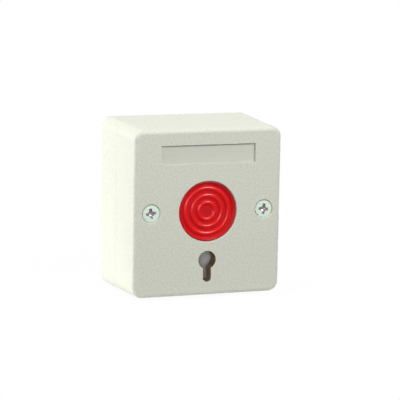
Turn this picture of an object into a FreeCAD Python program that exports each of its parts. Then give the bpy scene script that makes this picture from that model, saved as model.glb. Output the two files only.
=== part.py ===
"""Wall-fixed panic button with a key release, in millimetres.

The case stands on its underside with its front towards -Y and its wall face
towards +Y. Every piece is first built with Y as the depth behind the front
face, and is moved by half the case's depth when it is written out.
"""
import FreeCAD, Part
import math
import os
from FreeCAD import Vector

# Case
case_width = 55.6
case_height = 60.0
cover_depth = 18.1
box_depth = 15.5
draft_angle = 1.5
corner_radius = 3.6
front_edge_radius = 1.5
side_wall = 2.0
front_wall = 2.2
back_wall = 2.0
seam_gap = 0.1
lap_height = 2.0
lap_rim = 1.0
lap_clearance = 0.1

# Features of the front face
keyhole_height = 13.2
button_rise = 17.1
label_rise = 19.95
keyhole_radius = 3.2
key_slot_width = 2.96
key_slot_reach = 7.7
keyhole_collar_depth = 5.0
keyhole_collar_wall = 1.2
label_length = 34.5
label_width = 6.6
label_depth = 0.9
label_edge_radius = 0.1
opening_edge_radius = 0.3
keyhole_edge_radius = 0.15

# Push button
button_radius = 10.45
button_clearance = 0.15
button_recess = 0.35
button_skin = 1.6
skirt_wall = 1.4
press_travel = 3.5
stop_gap = 0.1
collar_length = 2.3
collar_wall = 1.6
flange_overlap = 1.4
flange_thickness = 1.0
rim_rise = 0.4
ridge_height = 0.6
ridge_half_width = 0.95
first_ridge_radius = 2.95
ridge_pitch = 2.5
rim_slope_width = 1.35
groove_least = 0.15
rim_round = 0.25
stem_radius = 3.0
stem_clearance = 0.1
nose_radius = 1.5
notch_depth = 1.4
notch_margin = 0.15

# Springs
return_wire = 0.7
return_mean_radius = 5.7
return_turns = 5
latch_wire = 0.35
latch_mean_radius = 1.3
latch_turns = 4
steps_per_turn = 16
spring_end_gap = 0.05
spring_ring_height = 1.2
spring_ring_wall = 0.7
spring_ring_clearance = 0.25

# Case screws, their inserts and pillars
case_screw_inset = 7.05
case_screw_radius = 1.5
case_screw_length = 12.0
screw_head_radius = 3.0
screw_head_rim = 0.2
screw_head_sink = 0.25
screw_recess_length = 3.5
screw_recess_width = 0.8
screw_recess_depth = 1.5
head_clearance = 0.25
head_seat_gap = 0.03
screw_clearance = 0.2
boss_radius = 3.5
boss_length = 3.8
insert_radius = 2.3
insert_length = 5.7
insert_grip = 0.02
screw_tip_room = 1.0
pillar_rib = 1.2

# Chassis
chassis_side_gap = 1.05
post_offset_z = 14.8
post_radius = 2.5
chassis_margin = 2.7
chassis_thickness = 2.2
chassis_corner = 2.0
key_leg_width = 6.9
guide_length = 1.5
rail_wall = 1.2
rail_lip = 1.0
rail_cap = 1.0
spring_stop_thickness = 1.2
spring_peg_radius = 0.8
spring_peg_length = 1.4

# Small self-tapping screws
tapping_radius = 1.1
tapping_head_radius = 2.0
tapping_head_height = 1.3
tapping_recess_length = 2.2
tapping_recess_width = 0.5
tapping_recess_depth = 0.8
tapping_grip = 0.02
tapping_clearance = 0.15
chassis_screw_length = 7.0
board_screw_length = 4.6
pilot_room = 0.3

# Release slide
sheet = 0.8
slide_gap = 0.1
release_travel = 2.0
latch_gap = 0.1
window_margin = 0.4
slide_left_room = 6.7
slide_right_room = 4.2
slide_half_height = 7.5
slide_stop_room = 1.4
neck_clearance = 0.4
key_bit_thickness = 2.6
key_end_room = 0.4
key_plate_gap = 1.3
key_plate_bottom = 4.8
key_lip = 1.0
key_tab_room = 1.1
key_tab_bottom = 5.2
key_tab_height = 3.0
lug_length = 3.2
lug_half_width = 2.0
latch_spring_length = 4.8

# Wiring board and its screws
board_thickness = 1.6
standoff_height = 1.4
standoff_radius = 2.5
board_half_width = 15.5
board_bottom = 13.4
board_top = 44.0
board_hole_inset = 3.0
board_pillar_gap = 0.5

# Snap switch
switch_length = 12.8
switch_width = 5.8
switch_depth = 6.5
switch_base_depth = 1.2
switch_wall = 0.8
lever_arm = 13.0
lever_overhang = 3.0
lever_sheet = 0.3
lever_width = 4.0
lever_gap = 0.05
pivot_rise = 0.8
pivot_radius = 0.35
pivot_clearance = 0.05
pivot_end = 1.2
ear_wall = 0.7
plunger_arm = 4.2
plunger_radius = 0.8
plunger_clearance = 0.1
plunger_flange = 0.5
plunger_flange_depth = 0.6
blade_gap = 0.2
blade_sheet = 0.2
blade_half_width = 1.2
contact_throw = 1.3
pin_pitch = 5.08
pin_size = 0.6
pin_tail = 0.9
pin_clearance = 0.1

# Terminal block
pole_count = 3
pole_pitch = 5.0
block_wall = 1.0
block_depth = 9.0
block_height = 7.6
block_bottom = 14.6
wire_mouth_depth = 4.2
clamp_wall = 0.6
clamp_clearance = 0.1
clamp_side_room = 0.1
terminal_screw_radius = 1.0
terminal_head_radius = 1.6
terminal_head_height = 1.4
terminal_head_sink = 1.0
terminal_slot_width = 0.5
terminal_slot_depth = 0.7
terminal_screw_length = 3.4

# Wall side
fixing_spacing = 45.0
fixing_hole_radius = 2.2
cable_entry_radius = 4.5
cable_entry_offset = 15.0
cable_entry_height = 9.0
knockout_skin = 0.6
knockout_ring = 0.8

# Levels behind the front face and places across it
slope = math.tan(math.radians(draft_angle))
middle = case_height / 2
case_depth = cover_depth + box_depth
button_height = keyhole_height + button_rise
label_height = button_height + label_rise
hole_radius = button_radius + button_clearance
ridge_level = button_recess + rim_rise
groove_level = ridge_level + ridge_height
cap_under = groove_level + button_skin
collar_end = front_wall + collar_length
flange_start = collar_end + stop_gap
flange_end = flange_start + flange_thickness
flange_radius = hole_radius + flange_overlap
chassis_front = flange_end + press_travel + stop_gap
chassis_back = chassis_front + chassis_thickness
slide_front = chassis_back + slide_gap
slide_back = slide_front + sheet
boss_end = front_wall + boss_length
floor_inside = case_depth - back_wall
board_back = floor_inside - standoff_height
board_front = board_back - board_thickness
switch_top = board_front - switch_depth
switch_base_top = board_front - switch_base_depth
pivot_level = switch_top - pivot_rise
pivot_x = -lever_arm
switch_left = pivot_x - pivot_end
switch_right = switch_left + switch_length
plunger_x = pivot_x + plunger_arm
screw_x = case_width / 2 - case_screw_inset
chassis_half_x = screw_x - boss_radius - chassis_side_gap
chassis_half_z = post_offset_z + chassis_margin
post_offset_x = chassis_half_x - chassis_margin
key_window_half = chassis_half_x - key_leg_width
key_plate_right = key_window_half - key_plate_gap
slide_left = chassis_half_x - slide_left_room
slide_right = chassis_half_x - slide_right_room
screw_places = [(side * screw_x, button_height) for side in (-1, 1)]
post_places = [(sx * post_offset_x, button_height + sz * post_offset_z)
               for sx in (-1, 1) for sz in (-1, 1)]
board_places = [(sx * (board_half_width - board_hole_inset), z)
                for sx in (-1, 1)
                for z in (board_bottom + board_hole_inset, board_top - board_hole_inset)]


def lever_rest_angle():
    """Angle at which the lever's back is just met by the stem's nose at rest."""
    reach = nose_radius + lever_sheet / 2 + lever_gap
    angle = math.atan(press_travel / lever_arm)
    for _ in range(20):
        rise = press_travel - reach * (1 / math.cos(angle) - 1)
        angle = math.atan(rise / lever_arm)
    return angle


rest_angle = lever_rest_angle()
nose_level = pivot_level - (nose_radius + lever_sheet / 2 + lever_gap
                            + lever_arm * math.sin(rest_angle)) / math.cos(rest_angle)
plunger_reach = plunger_radius + lever_sheet / 2 + lever_gap
plunger_level = pivot_level + (plunger_reach - plunger_arm * math.sin(rest_angle)) / math.cos(rest_angle)
plunger_travel = pivot_level + plunger_reach - plunger_level


def block(x0, x1, y0, y1, z0, z1):
    return Part.makeBox(x1 - x0, y1 - y0, z1 - z0, Vector(x0, y0, z0))


def rod(radius, y0, y1, x, z):
    return Part.makeCylinder(radius, y1 - y0, Vector(x, y0, z), Vector(0, 1, 0))


def cone(radius0, radius1, y0, y1, x, z):
    return Part.makeCone(radius0, radius1, y1 - y0, Vector(x, y0, z), Vector(0, 1, 0))


def joined(shapes):
    """One solid from pieces that overlap or share a face."""
    return shapes[0].fuse(shapes[1:]).removeSplitter()


def outline(half_x, half_z, radius, y, z):
    """A rounded rectangle in a plane across the depth."""
    nick = radius * (1 - math.sqrt(0.5))
    edges = []
    for sx, sz, along_first in ((1, 1, True), (-1, 1, False), (-1, -1, True), (1, -1, False)):
        side = Vector(sx * half_x, y, z + sz * (half_z - radius))
        end = Vector(sx * (half_x - radius), y, z + sz * half_z)
        mid = Vector(sx * (half_x - nick), y, z + sz * (half_z - nick))
        first, last = (side, end) if along_first else (end, side)
        edges.append(Part.Arc(first, mid, last).toShape())
    for i in range(4):
        start = edges[i].Vertexes[-1].Point
        stop = edges[(i + 1) % 4].Vertexes[0].Point
        edges.append(Part.makeLine(start, stop))
    return Part.Wire(Part.__sortEdges__(edges))


def case_block(y0, y1, inset=0.0):
    """The case's drafted form from one depth to another, drawn in by an inset."""
    loops = []
    for y in (y0, y1):
        drawn_in = inset + slope * (case_depth - y)
        half_x = case_width / 2 - drawn_in
        half_z = case_height / 2 - drawn_in
        loops.append([Vector(sx * half_x, y, middle + sz * half_z)
                      for sx, sz in ((-1, -1), (1, -1), (1, 1), (-1, 1))])
    near, far = loops
    for i in range(4):
        j = (i + 1) % 4
        loops.append([near[i], near[j], far[j], far[i]])
    faces = [Part.Face(Part.makePolygon(loop + loop[:1])) for loop in loops]
    body = Part.Solid(Part.Shell(faces))
    if body.Volume < 0:
        body.reverse()
    corners = [edge for edge in body.Edges
               if abs(edge.Vertexes[0].Point.y - edge.Vertexes[1].Point.y) > (y1 - y0) / 2]
    return body.makeFillet(max(corner_radius - inset, 0.3), corners)


def edges_at(shape, y, chosen):
    """Edges that lie in the plane at depth y and whose middle is chosen."""
    found = []
    for edge in shape.Edges:
        flat = all(abs(v.Point.y - y) < 1e-4 for v in edge.Vertexes)
        centre = edge.CenterOfMass
        if flat and abs(centre.y - y) < 1e-4 and chosen(centre.x, centre.z):
            found.append(edge)
    return found


def keyhole_form(y0, y1, wall=0.0):
    """The keyhole's eye and slot, or the collar of that wall round them."""
    half = key_slot_width / 2 + wall
    slot_end = keyhole_height - key_slot_reach + key_slot_width / 2
    eye = rod(keyhole_radius + wall, y0, y1, 0, keyhole_height)
    slot = block(-half, half, y0, y1, slot_end, keyhole_height)
    return joined([eye, slot, rod(half, y0, y1, 0, slot_end)])


def screw_seat(x, z):
    """Countersunk hole for a case screw, open to the front."""
    pocket = screw_head_radius + head_clearance
    rim = screw_head_sink + screw_head_rim
    drop = screw_head_radius - case_screw_radius
    neck = case_screw_radius + screw_clearance
    seat = rim + head_seat_gap + head_clearance
    return joined([
        rod(pocket, -1.0, rim, x, z),
        cone(pocket, neck, rim, seat + drop, x, z),
        rod(neck, rim, boss_end + 1.0, x, z),
    ])


def front_cover():
    shell = case_block(0.0, cover_depth - seam_gap)
    shell = shell.makeFillet(front_edge_radius, edges_at(shell, 0.0, lambda x, z: True))
    shell = shell.cut(case_block(front_wall, cover_depth, side_wall))
    shell = shell.cut(case_block(cover_depth - lap_height - 2 * lap_clearance, cover_depth, lap_rim))
    inside = [rod(hole_radius + collar_wall, front_wall - 0.5, collar_end, 0, button_height)]
    inside += [rod(boss_radius, front_wall - 0.5, boss_end, x, z) for x, z in screw_places]
    inside += [rod(post_radius, front_wall - 0.5, chassis_front, x, z) for x, z in post_places]
    collar = keyhole_form(front_wall - 0.5, keyhole_collar_depth, keyhole_collar_wall)
    inside.append(collar.cut(rod(flange_radius + stop_gap, front_wall, keyhole_collar_depth + 1.0,
                                 0, button_height)))
    shell = joined([shell] + inside)
    pilot = tapping_radius + tapping_grip
    depth = chassis_screw_length - chassis_thickness + pilot_room
    cuts = [rod(hole_radius, -1.0, collar_end + 1.0, 0, button_height)]
    cuts += [rod(pilot, chassis_front - depth, chassis_front + 1.0, x, z) for x, z in post_places]
    cuts += [screw_seat(x, z) for x, z in screw_places]
    cuts.append(keyhole_form(-1.0, keyhole_collar_depth + 1.0))
    cuts.append(block(-label_length / 2, label_length / 2, -1.0, label_depth,
                      label_height - label_width / 2, label_height + label_width / 2))
    shell = shell.cut(cuts)
    return rounded_openings(shell)


def rounded_openings(shell):
    """The small moulded edge radius round each opening of the front face."""
    def on_button(x, z):
        return math.hypot(x, z - button_height) < 0.5

    def on_label(x, z):
        return abs(z - label_height) < label_width / 2 + 0.1 and abs(x) < label_length / 2 + 0.1

    def on_screw(x, z):
        return abs(abs(x) - screw_x) < 0.5 and abs(z - button_height) < 0.5

    def on_keyhole(x, z):
        return abs(x) < keyhole_radius + 0.1 and z < keyhole_height + keyhole_radius + 0.1 \
            and z > keyhole_height - key_slot_reach - 0.1

    shell = shell.makeFillet(opening_edge_radius, edges_at(shell, 0.0, on_button))
    shell = shell.makeFillet(opening_edge_radius, edges_at(shell, 0.0, on_screw))
    shell = shell.makeFillet(label_edge_radius, edges_at(shell, 0.0, on_label))
    return shell.makeFillet(keyhole_edge_radius, edges_at(shell, 0.0, on_keyhole))


def back_box():
    shell = case_block(cover_depth, case_depth)
    tongue = case_block(cover_depth - lap_height, cover_depth, lap_rim + lap_clearance)
    shell = joined([shell, tongue])
    shell = shell.cut(case_block(cover_depth - lap_height, floor_inside, side_wall))
    inside = []
    for x, z in screw_places:
        inside.append(rod(boss_radius, boss_end, floor_inside + 0.5, x, z))
        wall_x = math.copysign(case_width / 2 - side_wall / 2, x)
        x0, x1 = sorted((x, wall_x))
        inside.append(block(x0, x1, cover_depth + seam_gap, floor_inside + 0.5,
                            z - pillar_rib / 2, z + pillar_rib / 2))
    inside += [rod(standoff_radius, board_back, floor_inside + 0.5, x, z) for x, z in board_places]
    shell = joined([shell] + inside)
    return shell.cut(back_box_holes())


def back_box_holes():
    insert_hole = insert_radius + insert_grip
    screw_tip = screw_head_sink + case_screw_length + screw_tip_room
    pilot = tapping_radius + tapping_grip
    pilot_end = board_back + board_screw_length - board_thickness + pilot_room
    cuts = []
    for x, z in screw_places:
        cuts.append(rod(insert_hole, boss_end - 1.0, boss_end + insert_length, x, z))
        cuts.append(rod(case_screw_radius + screw_clearance, boss_end, screw_tip, x, z))
    cuts += [rod(pilot, board_back - 1.0, pilot_end, x, z) for x, z in board_places]
    for side in (-1, 1):
        cuts.append(rod(fixing_hole_radius, floor_inside - 1.0, case_depth + 1.0,
                        0, middle + side * fixing_spacing / 2))
    cuts.append(rod(cable_entry_radius, floor_inside - 1.0, case_depth + 1.0,
                    -cable_entry_offset, cable_entry_height))
    groove_end = floor_inside + knockout_skin
    ring = rod(cable_entry_radius, groove_end, case_depth + 1.0, cable_entry_offset, cable_entry_height)
    core = rod(cable_entry_radius - knockout_ring, groove_end, case_depth + 1.0,
               cable_entry_offset, cable_entry_height)
    cuts.append(ring.cut(core))
    return cuts


def cross_recess(length, width, depth, y, x, z):
    """Cross-shaped driver recess whose arms slope in towards its point."""
    half = length / 2
    point = width / 2
    outline_points = [Vector(-half, 0, 0), Vector(half, 0, 0),
                      Vector(point, depth, 0), Vector(-point, depth, 0)]
    face = Part.Face(Part.makePolygon(outline_points + outline_points[:1]))
    arm = face.extrude(Vector(0, 0, width))
    arm.translate(Vector(0, 0, -width / 2))
    other = arm.copy()
    other.rotate(Vector(0, 0, 0), Vector(0, 1, 0), 90)
    both = joined([arm, other])
    both.translate(Vector(x, y, z))
    return both


def case_screw(x, z):
    top = screw_head_sink
    rim = top + screw_head_rim
    drop = screw_head_radius - case_screw_radius
    body = joined([
        rod(screw_head_radius, top, rim, x, z),
        cone(screw_head_radius, case_screw_radius, rim, rim + drop, x, z),
        rod(case_screw_radius, rim, top + case_screw_length, x, z),
    ])
    return body.cut(cross_recess(screw_recess_length, screw_recess_width, screw_recess_depth, top, x, z))


def screw_insert(x, z):
    ring = rod(insert_radius, boss_end, boss_end + insert_length, x, z)
    groove_at = boss_end + insert_length / 2
    groove = rod(insert_radius + 1.0, groove_at - 0.4, groove_at + 0.4, x, z)
    groove = groove.cut(rod(insert_radius - 0.3, groove_at - 0.4, groove_at + 0.4, x, z))
    bore = rod(case_screw_radius + insert_grip, boss_end - 1.0, boss_end + insert_length + 1.0, x, z)
    return ring.cut([groove, bore])


def tapping_screw(head_base, tip, x, z):
    """Pan-head self-tapping screw whose head lies behind its seat."""
    way = 1 if tip > head_base else -1
    head_top = head_base - way * tapping_head_height
    y0, y1 = sorted((head_base, tip))
    h0, h1 = sorted((head_base, head_top))
    head = rod(tapping_head_radius, h0, h1, x, z)
    head = head.makeFillet(tapping_head_height * 0.45, edges_at(head, head_top, lambda a, b: True))
    body = joined([head, rod(tapping_radius, y0, y1, x, z)])
    recess = cross_recess(tapping_recess_length, tapping_recess_width, tapping_recess_depth, 0, 0, 0)
    if way < 0:
        recess.rotate(Vector(0, 0, 0), Vector(0, 0, 1), 180)
    recess.translate(Vector(x, head_top, z))
    return body.cut(recess)


def ridged_face():
    """Edges of the button's face from its axis to its rim, as seen in section."""
    last_start = button_radius - rim_slope_width
    room = last_start - groove_least - ridge_half_width - first_ridge_radius
    count = max(int(room / ridge_pitch) + 1, 1)
    edges = []
    here = Vector(0, groove_level, 0)
    for i in range(count):
        peak = first_ridge_radius + i * ridge_pitch
        start = Vector(peak - ridge_half_width, groove_level, 0)
        top = Vector(peak, ridge_level, 0)
        stop = Vector(peak + ridge_half_width, groove_level, 0)
        edges.append(Part.makeLine(here, start))
        edges.append(Part.Arc(start, top, stop).toShape())
        here = stop
    slope_start = Vector(last_start, groove_level, 0)
    rim = Vector(button_radius - rim_round, button_recess, 0)
    edges.append(Part.makeLine(here, slope_start))
    edges.append(Part.makeLine(slope_start, rim))
    round_mid = rim_round * (1 - math.sqrt(0.5))
    corner = Vector(button_radius, button_recess + rim_round, 0)
    middle = Vector(button_radius - round_mid, button_recess + round_mid, 0)
    edges.append(Part.Arc(rim, middle, corner).toShape())
    return edges, corner


def push_button():
    edges, corner = ridged_face()
    skirt_inside = button_radius - skirt_wall
    ring_outer = return_mean_radius - return_wire / 2 - spring_ring_clearance
    ring_inner = ring_outer - spring_ring_wall
    stem_end = slide_back + notch_margin + window_margin
    walls = [
        corner,
        Vector(button_radius, flange_start, 0),
        Vector(flange_radius, flange_start, 0),
        Vector(flange_radius, flange_end, 0),
        Vector(skirt_inside, flange_end, 0),
        Vector(skirt_inside, cap_under, 0),
        Vector(ring_outer, cap_under, 0),
        Vector(ring_outer, cap_under + spring_ring_height, 0),
        Vector(ring_inner, cap_under + spring_ring_height, 0),
        Vector(ring_inner, cap_under, 0),
        Vector(stem_radius, cap_under, 0),
        Vector(stem_radius, stem_end, 0),
        Vector(nose_radius, stem_end + stem_radius - nose_radius, 0),
        Vector(nose_radius, nose_level, 0),
    ]
    edges += [Part.makeLine(a, b) for a, b in zip(walls, walls[1:])]
    tip = Vector(0, nose_level + nose_radius, 0)
    diagonal = nose_radius * math.sqrt(0.5)
    nose_mid = Vector(diagonal, nose_level + diagonal, 0)
    edges.append(Part.Arc(walls[-1], nose_mid, tip).toShape())
    edges.append(Part.makeLine(tip, Vector(0, groove_level, 0)))
    face = Part.Face(Part.Wire(Part.__sortEdges__(edges)))
    body = face.revolve(Vector(0, 0, 0), Vector(0, 1, 0), 360)
    body.translate(Vector(0, 0, button_height))
    notch = block(-stem_radius - 1.0, notch_depth - stem_radius,
                  slide_front - press_travel - notch_margin, slide_back - press_travel + notch_margin,
                  button_height - stem_radius, button_height + stem_radius)
    return body.cut(notch)


def coil(mean_radius, wire, turns, length):
    """A compression spring from the origin along +Z, clear of both its seats,
    its wire in short straight steps with mitred joins."""
    height = length - wire - 2 * spring_end_gap
    steps = turns * steps_per_turn
    points = []
    for i in range(steps + 1):
        angle = 2 * math.pi * i / steps_per_turn
        points.append(Vector(mean_radius * math.cos(angle), mean_radius * math.sin(angle),
                             wire / 2 + spring_end_gap + height * i / steps))
    sweep = Part.BRepOffsetAPI.MakePipeShell(Part.makePolygon(points))
    sweep.setTransitionMode(1)
    sweep.add(Part.Wire(Part.makeCircle(wire / 2, points[0], points[1] - points[0])))
    sweep.build()
    sweep.makeSolid()
    return sweep.shape()


def return_spring():
    body = coil(return_mean_radius, return_wire, return_turns, chassis_front - cap_under)
    body.rotate(Vector(0, 0, 0), Vector(1, 0, 0), -90)
    body.translate(Vector(0, cap_under, button_height))
    return body


def latch_spring():
    body = coil(latch_mean_radius, latch_wire, latch_turns, latch_spring_length)
    body.rotate(Vector(0, 0, 0), Vector(0, 1, 0), 90)
    body.translate(Vector(-slide_left - latch_spring_length, lug_middle(), button_height))
    return body


def lug_middle():
    return slide_back + lug_length / 2


def neck_left():
    return -(key_bit_thickness / 2 + key_tab_room + sheet)


def chassis():
    plate = outline(chassis_half_x, chassis_half_z, chassis_corner, chassis_front, button_height)
    plate = Part.Face(plate).extrude(Vector(0, chassis_thickness, 0))
    ring = return_mean_radius - return_wire / 2 - spring_ring_clearance
    parts = [plate, rod(ring, chassis_front - guide_length, chassis_front + 0.5, 0, button_height)]
    parts += slide_rails()
    stop_face = -slide_left - latch_spring_length
    parts.append(block(stop_face - spring_stop_thickness, stop_face, chassis_back - 0.5,
                       slide_back + lug_length + 0.5, button_height - lug_half_width - 0.5,
                       button_height + lug_half_width + 0.5))
    parts.append(Part.makeCylinder(spring_peg_radius, spring_peg_length + 0.5,
                                   Vector(stop_face - 0.5, lug_middle(), button_height), Vector(1, 0, 0)))
    end_stop = slide_right + slide_stop_room
    parts.append(block(end_stop, end_stop + rail_wall, chassis_back - 0.5, slide_back + rail_cap,
                       button_height - lug_half_width, button_height + lug_half_width))
    body = joined(parts)
    window_top = button_height - flange_radius - stop_gap
    cuts = [block(-key_window_half, key_window_half, chassis_front - 1.0, chassis_back + 1.0,
                  button_height - chassis_half_z - 1.0, window_top)]
    cuts.append(rod(stem_radius + stem_clearance, chassis_front - guide_length - 1.0,
                    chassis_back + 1.0, 0, button_height))
    cuts += [rod(tapping_radius + tapping_clearance, chassis_front - 1.0, chassis_back + 1.0, x, z)
             for x, z in post_places]
    return body.cut(cuts)


def slide_rails():
    """Hooked rails over the slide's two long edges, open where its neck passes."""
    under_neck = neck_left() - release_travel - neck_clearance
    spans = [(-slide_left - release_travel, under_neck, -1),
             (key_plate_right + neck_clearance, slide_right + slide_stop_room, -1),
             (-slide_left - release_travel, slide_right + slide_stop_room, 1)]
    cap_front = slide_back + slide_gap
    rails = []
    for x0, x1, side in spans:
        inner = button_height + side * (slide_half_height + slide_gap)
        outer = inner + side * rail_wall
        lip = inner - side * rail_lip
        z0, z1 = sorted((inner, outer))
        rails.append(block(x0, x1, chassis_back - 0.5, cap_front, z0, z1))
        z0, z1 = sorted((lip, outer))
        rails.append(block(x0, x1, cap_front, cap_front + rail_cap, z0, z1))
    return rails


def latch_slide():
    """Flat sheet with a window round the stem, a plate for the key, a tab that
    the key's bit pushes, a stiffening lip and a lug for its spring."""
    left = neck_left()
    plate = block(-slide_left, slide_right, slide_front, slide_back,
                  button_height - slide_half_height, button_height + slide_half_height)
    key_plate = block(left, key_plate_right, slide_front, slide_back, key_plate_bottom, button_height)
    lip = block(left, key_plate_right, slide_front - key_lip, slide_back,
                key_plate_bottom - sheet, key_plate_bottom)
    tab = block(left, left + sheet, keyhole_collar_depth + key_end_room, slide_back,
                key_tab_bottom, key_tab_bottom + key_tab_height)
    lug = block(-slide_left, -slide_left + sheet, slide_front, slide_back + lug_length,
                button_height - lug_half_width, button_height + lug_half_width)
    body = joined([plate, key_plate, lip, tab, lug])
    window_half = stem_radius + window_margin
    window = block(-stem_radius - latch_gap, stem_radius + release_travel + window_margin,
                   slide_front - 1.0, slide_back + 1.0,
                   button_height - window_half, button_height + window_half)
    return body.cut(window)


def on_lever(shape):
    """Swing a piece that is drawn with the lever pressed flat to its rest angle."""
    shape.rotate(Vector(pivot_x, pivot_level, button_height), Vector(0, 0, 1), -math.degrees(rest_angle))
    return shape


def across(radius, x, y, half_length):
    low = Vector(x, y, button_height - half_length)
    return Part.makeCylinder(radius, 2 * half_length, low, Vector(0, 0, 1))


def switch_lever():
    half = lever_width / 2
    hole = pivot_radius + pivot_clearance
    eye = across(hole + lever_sheet, pivot_x, pivot_level, half)
    arm = block(pivot_x, lever_overhang, pivot_level - lever_sheet / 2, pivot_level + lever_sheet / 2,
                button_height - half, button_height + half)
    body = joined([eye, arm]).cut(across(hole, pivot_x, pivot_level, half + 1.0))
    return on_lever(body)


def switch_pivot():
    return across(pivot_radius, pivot_x, pivot_level, switch_width / 2)


def switch_case():
    half = switch_width / 2
    z0 = button_height - half
    z1 = button_height + half
    body = block(switch_left, switch_right, switch_top, switch_base_top, z0, z1)
    ear_half = pivot_radius + pivot_clearance + ear_wall
    ears = []
    for low, high in ((z0, z0 + ear_wall), (z1 - ear_wall, z1)):
        ears.append(block(pivot_x - ear_half, pivot_x + ear_half, pivot_level, switch_top + 0.2, low, high))
        ears.append(Part.makeCylinder(ear_half, high - low, Vector(pivot_x, pivot_level, low),
                                      Vector(0, 0, 1)))
    body = joined([body] + ears)
    room = block(switch_left + switch_wall, switch_right - switch_wall, switch_top + switch_wall,
                 switch_base_top + 1.0, z0 + switch_wall, z1 - switch_wall)
    bore = rod(plunger_radius + plunger_clearance, switch_top - 1.0, switch_top + switch_wall + 1.0,
               plunger_x, button_height)
    return body.cut([room, bore, across(pivot_radius + 0.02, pivot_x, pivot_level, half + 1.0)])


def pin_places():
    first = switch_left + pivot_end
    return [first + i * pin_pitch for i in range(3)]


def pin_hole(x, z, y0, y1):
    half = pin_size / 2 + pin_clearance
    return block(x - half, x + half, y0, y1, z - half, z + half)


def switch_base():
    half = switch_width / 2
    body = block(switch_left, switch_right, switch_base_top, board_front,
                 button_height - half, button_height + half)
    return body.cut([pin_hole(x, button_height, switch_base_top - 1.0, board_front + 1.0)
                     for x in pin_places()])


def switch_plunger():
    flange_top = switch_top + switch_wall + 0.05
    flange_bottom = flange_top + plunger_flange_depth
    tip = Part.makeSphere(plunger_radius, Vector(plunger_x, plunger_level, button_height))
    return joined([
        tip,
        rod(plunger_radius, plunger_level, flange_bottom + blade_gap, plunger_x, button_height),
        rod(plunger_radius + plunger_flange, flange_top, flange_bottom, plunger_x, button_height),
    ])


def blade_level():
    return switch_top + switch_wall + 0.05 + plunger_flange_depth + 2 * blade_gap


def snap_blade():
    start, _, end = pin_places()
    level = blade_level()
    strip = block(start - pin_size / 2, end - pin_size, level, level + blade_sheet,
                  button_height - blade_half_width, button_height + blade_half_width)
    bead = rod(blade_half_width * 0.5, level - blade_sheet, level + 2 * blade_sheet,
               end - 2 * pin_size - blade_half_width * 0.5, button_height)
    slots = []
    for side in (-1, 1):
        z0, z1 = sorted((button_height + side * blade_half_width * 0.4,
                         button_height + side * blade_half_width * 0.6))
        slots.append(block(start + 1.5, end - 4.5, level - 1.0, level + 1.0, z0, z1))
    return joined([strip, bead]).cut(slots)


def pin_at(x, top):
    half = pin_size / 2
    return block(x - half, x + half, top, board_back + pin_tail, button_height - half, button_height + half)


def common_terminal():
    x = pin_places()[0]
    top = blade_level() + blade_sheet
    pad = block(x - pin_size / 2, x + pin_size, top, top + pin_size,
                button_height - blade_half_width, button_height + blade_half_width)
    return joined([pin_at(x, top), pad])


def open_terminal():
    _, x, end = pin_places()
    arm_top = blade_level() + blade_sheet + contact_throw
    arm = block(x - pin_size / 2, end - pin_size, arm_top, arm_top + pin_size / 2,
                button_height - blade_half_width * 0.7, button_height + blade_half_width * 0.7)
    bead = rod(blade_half_width * 0.5, arm_top - blade_sheet, arm_top + 0.1,
               end - 2 * pin_size - blade_half_width * 0.5, button_height)
    return joined([pin_at(x, arm_top), arm, bead])


def closed_terminal():
    x = pin_places()[2]
    top = blade_level() - 2 * blade_sheet - 0.02
    arm = block(x - 2 * pin_size - blade_half_width, x + pin_size / 2, top - pin_size / 2, top,
                button_height - blade_half_width * 0.7, button_height + blade_half_width * 0.7)
    return joined([pin_at(x, top - pin_size / 2), arm])


def pole_places():
    return [(i - (pole_count - 1) / 2) * pole_pitch for i in range(pole_count)]


def block_middle():
    return block_bottom + block_height / 2


def contact_board():
    body = block(-board_half_width, board_half_width, board_front, board_back, board_bottom, board_top)
    cuts = [rod(tapping_radius + tapping_clearance, board_front - 1.0, board_back + 1.0, x, z)
            for x, z in board_places]
    cuts += [rod(boss_radius + board_pillar_gap, board_front - 1.0, board_back + 1.0, x, z)
             for x, z in screw_places]
    cuts += [pin_hole(x, button_height, board_front - 1.0, board_back + 1.0) for x in pin_places()]
    cuts += [pin_hole(x, block_middle(), board_front - 1.0, board_back + 1.0) for x in pole_places()]
    return body.cut(cuts)


def clamp_half():
    return terminal_screw_radius + clamp_side_room + clamp_wall


def clamp_depths():
    """Front and back of the wire clamps behind the front face."""
    front = board_front - block_wall - wire_mouth_depth - clamp_clearance
    return front, board_front - block_wall - clamp_clearance


def terminal_housing():
    half = (pole_count * pole_pitch + block_wall) / 2
    front = board_front - block_depth
    top = block_bottom + block_height
    body = block(-half, half, front, board_front, block_bottom, top)
    clamp_front, clamp_back = clamp_depths()
    cuts = []
    for x in pole_places():
        reach = clamp_half() + clamp_clearance
        cuts.append(block(x - reach, x + reach, clamp_front - clamp_clearance, clamp_back + clamp_clearance,
                          block_bottom - 1.0, top - block_wall))
        cuts.append(rod(terminal_head_radius + clamp_clearance, front - 1.0, clamp_front, x, block_middle()))
        cuts.append(pin_hole(x, block_middle(), clamp_back - 0.5, board_front + 1.0))
    return body.cut(cuts)


def terminal_clamp(x):
    """Square brass cage that draws the wire against the pin."""
    front, back = clamp_depths()
    z0 = block_bottom + block_wall
    z1 = block_bottom + block_height - block_wall - clamp_clearance
    half = clamp_half()
    cage = block(x - half, x + half, front, back, z0, z1)
    room = block(x - half + clamp_wall, x + half - clamp_wall, front + 2 * clamp_wall, back - clamp_wall,
                 z0 - 1.0, z1 + 1.0)
    hole = rod(terminal_screw_radius + insert_grip, front - 1.0, front + 2 * clamp_wall + 1.0,
               x, block_middle())
    return cage.cut([room, hole])


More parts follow.
